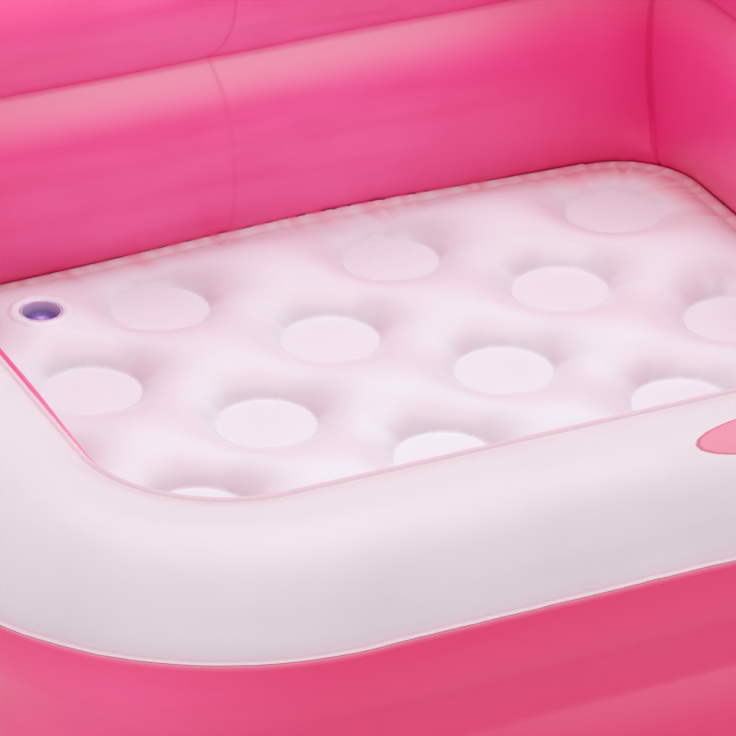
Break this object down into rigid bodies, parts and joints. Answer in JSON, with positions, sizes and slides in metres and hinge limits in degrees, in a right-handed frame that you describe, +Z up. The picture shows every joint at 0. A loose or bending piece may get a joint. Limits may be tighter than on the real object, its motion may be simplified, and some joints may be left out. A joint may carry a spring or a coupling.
{
  "type": "inflatable baby pool",
  "caption": "Square inflatable baby pool with stacked air rings, a quilted air floor welded at round discs, and push-in valves with stoppers and check flaps.",
  "frame": {"origin": "on the ground under the middle of the pool", "axes": "+Z up; +X along the front wall to the right; +Y from the front wall to the back wall; the floor valve is at -X +Y and the ring valves are on the back wall"},
  "size_m": [0.8504, 0.8504, 0.23],
  "materials": {
    "white_vinyl": "satin",
    "pink_vinyl": "satin",
    "base_vinyl": "satin",
    "clear_vinyl": "satin",
    "pearl_vinyl": "satin",
    "valve_vinyl": "satin",
    "stopper_vinyl": "satin"
  },
  "bodies": {
    "pool": {"top_sheet": "white_vinyl", "inner_wall_sheet": "pink_vinyl", "outer_wall_sheet": "pink_vinyl", "ring_web": "clear_vinyl", "base_sheet": "base_vinyl", "floor_top_sheet": "pearl_vinyl", "floor_valve_base": "valve_vinyl", "upper_ring_valve_base": "valve_vinyl", "lower_ring_valve_base": "valve_vinyl"},
    "floor_valve_stem": {"floor_valve_stem": "valve_vinyl", "floor_valve_strap": "stopper_vinyl"},
    "floor_valve_stopper": {"floor_valve_stopper": "stopper_vinyl"},
    "floor_valve_flap": {"floor_valve_flap": "stopper_vinyl"},
    "upper_ring_valve_stem": {"upper_ring_valve_stem": "valve_vinyl", "upper_ring_valve_strap": "stopper_vinyl"},
    "upper_ring_valve_stopper": {"upper_ring_valve_stopper": "stopper_vinyl"},
    "upper_ring_valve_flap": {"upper_ring_valve_flap": "stopper_vinyl"},
    "lower_ring_valve_stem": {"lower_ring_valve_stem": "valve_vinyl", "lower_ring_valve_strap": "stopper_vinyl"},
    "lower_ring_valve_stopper": {"lower_ring_valve_stopper": "stopper_vinyl"},
    "lower_ring_valve_flap": {"lower_ring_valve_flap": "stopper_vinyl"}
  },
  "joints": [
    {"name": "floor_valve_stem_slide", "type": "slide", "parent": "pool", "child": "floor_valve_stem", "axis": [0, 0, 1], "range_m": [0, 0.008]},
    {"name": "floor_valve_stopper_pull", "type": "slide", "parent": "floor_valve_stem", "child": "floor_valve_stopper", "axis": [0, 0, 1], "range_m": [0, 0.01], "deforming": ["floor_valve_strap"]},
    {"name": "floor_valve_flap_hinge", "type": "hinge", "parent": "floor_valve_stem", "child": "floor_valve_flap", "pos_m": [-0.1602, 0.234, 0.0098], "axis": [0, 1, 0], "range_deg": [0, 55], "stiffness_Nm_per_rad": 0.0002, "springref_deg": -17.19},
    {"name": "upper_ring_valve_stem_slide", "type": "slide", "parent": "pool", "child": "upper_ring_valve_stem", "axis": [0, 0.9051, -0.4252], "range_m": [0, 0.008]},
    {"name": "upper_ring_valve_stopper_pull", "type": "slide", "parent": "upper_ring_valve_stem", "child": "upper_ring_valve_stopper", "axis": [0, 0.9051, -0.4252], "range_m": [0, 0.01], "deforming": ["upper_ring_valve_strap"]},
    {"name": "upper_ring_valve_flap_hinge", "type": "hinge", "parent": "upper_ring_valve_stem", "child": "upper_ring_valve_flap", "pos_m": [0.1458, 0.40323, 0.15422], "axis": [0, -0.4252, -0.9051], "range_deg": [0, 55], "stiffness_Nm_per_rad": 0.0002, "springref_deg": -17.19},
    {"name": "lower_ring_valve_stem_slide", "type": "slide", "parent": "pool", "child": "lower_ring_valve_stem", "axis": [0, 0.8982, 0.4395], "range_m": [0, 0.008]},
    {"name": "lower_ring_valve_stopper_pull", "type": "slide", "parent": "lower_ring_valve_stem", "child": "lower_ring_valve_stopper", "axis": [0, 0.8982, 0.4395], "range_m": [0, 0.01], "deforming": ["lower_ring_valve_strap"]},
    {"name": "lower_ring_valve_flap_hinge", "type": "hinge", "parent": "lower_ring_valve_stem", "child": "lower_ring_valve_flap", "pos_m": [-0.1542, 0.40039, 0.07445], "axis": [0, 0.4395, -0.8982], "range_deg": [0, 55], "stiffness_Nm_per_rad": 0.0002, "springref_deg": -17.19}
  ]
}
